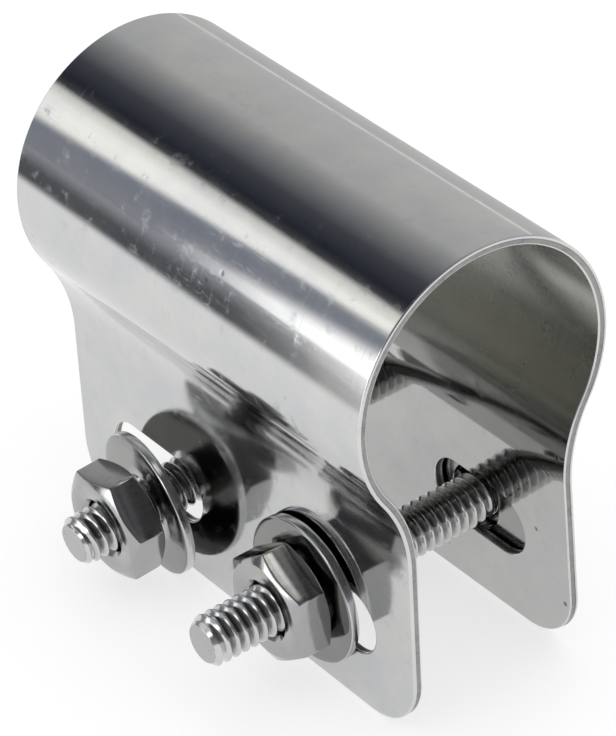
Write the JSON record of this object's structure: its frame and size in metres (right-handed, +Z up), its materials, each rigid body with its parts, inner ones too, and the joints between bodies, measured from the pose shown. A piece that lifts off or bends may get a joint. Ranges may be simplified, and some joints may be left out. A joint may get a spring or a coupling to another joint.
{
  "type": "pipe repair clamp",
  "caption": "Bent stainless strap that wraps a pipe, with slotted parallel legs drawn together by hex bolts, flat washers and nuts.",
  "frame": {"origin": "middle of the overall footprint, on the surface that the legs' lower edges stand on", "axes": "+Z up from the leg edges to the barrel, +Y along the pipe, +X along the bolts towards their heads"},
  "size_m": [0.0466, 0.0636, 0.0611],
  "materials": {
    "polished_sheet": "mirror-polished stainless sheet with faint scuffs and sheared edges",
    "bolt_steel": "bright stainless, rolled thread",
    "nut_steel": "bright stainless, chamfered",
    "washer_steel": "bright stainless, stamped rim"
  },
  "bodies": {
    "band": {"clamp_band": "polished_sheet"},
    "front_carrier": {"head_washer_front": "washer_steel"},
    "front_screw": {"bolt_front": "bolt_steel"},
    "front_follower": {"nut_washer_front": "washer_steel"},
    "front_nut": {"nut_front": "nut_steel"},
    "rear_carrier": {"head_washer_rear": "washer_steel"},
    "rear_screw": {"bolt_rear": "bolt_steel"},
    "rear_follower": {"nut_washer_rear": "washer_steel"},
    "rear_nut": {"nut_rear": "nut_steel"}
  },
  "joints": [
    {"name": "front_slot_slide", "type": "slide", "parent": "band", "child": "front_carrier", "axis": [0, 1, 0], "range_m": [-0.0067, 0.0018]},
    {"name": "front_bolt_spin", "type": "hinge", "parent": "front_carrier", "child": "front_screw", "pos_m": [0.00411, -0.0135, 0.01172], "axis": [1, 0, 0], "continuous": true},
    {"name": "front_nut_travel", "type": "slide", "parent": "front_screw", "child": "front_follower", "axis": [1, 0, 0], "range_m": [-0.00762, 0]},
    {"name": "front_nut_turn", "type": "hinge", "parent": "front_follower", "child": "front_nut", "pos_m": [0.00411, -0.0135, 0.01172], "axis": [1, 0, 0], "range_deg": [-2160, 0]},
    {"name": "rear_slot_slide", "type": "slide", "parent": "band", "child": "rear_carrier", "axis": [0, 1, 0], "range_m": [-0.0018, 0.0065]},
    {"name": "rear_bolt_spin", "type": "hinge", "parent": "rear_carrier", "child": "rear_screw", "pos_m": [0.00411, 0.01355, 0.01097], "axis": [0.9982, 0, 0.0593], "continuous": true},
    {"name": "rear_nut_travel", "type": "slide", "parent": "rear_screw", "child": "rear_follower", "axis": [0.9982, 0, 0.0593], "range_m": [-0.00381, 0.0012]},
    {"name": "rear_nut_turn", "type": "hinge", "parent": "rear_follower", "child": "rear_nut", "pos_m": [0.00411, 0.01355, 0.01097], "axis": [0.9982, 0, 0.0593], "range_deg": [-1080, 340]}
  ],
  "couplings": [
    {"joint": "front_nut_travel", "follows": "front_nut_turn", "m_per_rad": 0.00020213},
    {"joint": "rear_nut_travel", "follows": "rear_nut_turn", "m_per_rad": 0.00020213}
  ]
}
